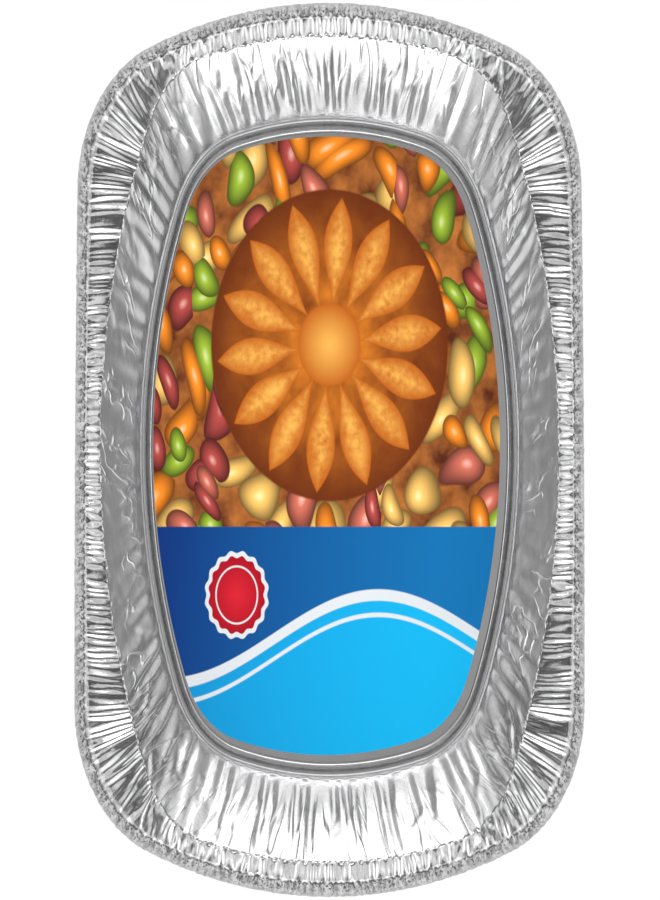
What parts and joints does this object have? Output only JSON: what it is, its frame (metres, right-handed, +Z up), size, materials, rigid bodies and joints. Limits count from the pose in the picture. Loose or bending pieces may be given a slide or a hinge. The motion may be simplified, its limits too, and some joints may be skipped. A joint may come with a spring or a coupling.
{
  "type": "foil roasting pan",
  "caption": "Oval roasting pan pressed from aluminium foil, with rolled rim, crimped flange, fluted sloping walls and a printed card lying on its floor.",
  "frame": {"origin": "under the middle of the pan, in the plane that it stands on", "axes": "+X across the pan, +Y along it, towards the card's top edge, +Z up out of its mouth"},
  "size_m": [0.318, 0.406, 0.082],
  "materials": {
    "foil": "bright rolled foil",
    "card": "gloss print"
  },
  "bodies": {
    "root": {"foil_pan": "foil", "label_card": "card"}
  },
  "joints": []
}
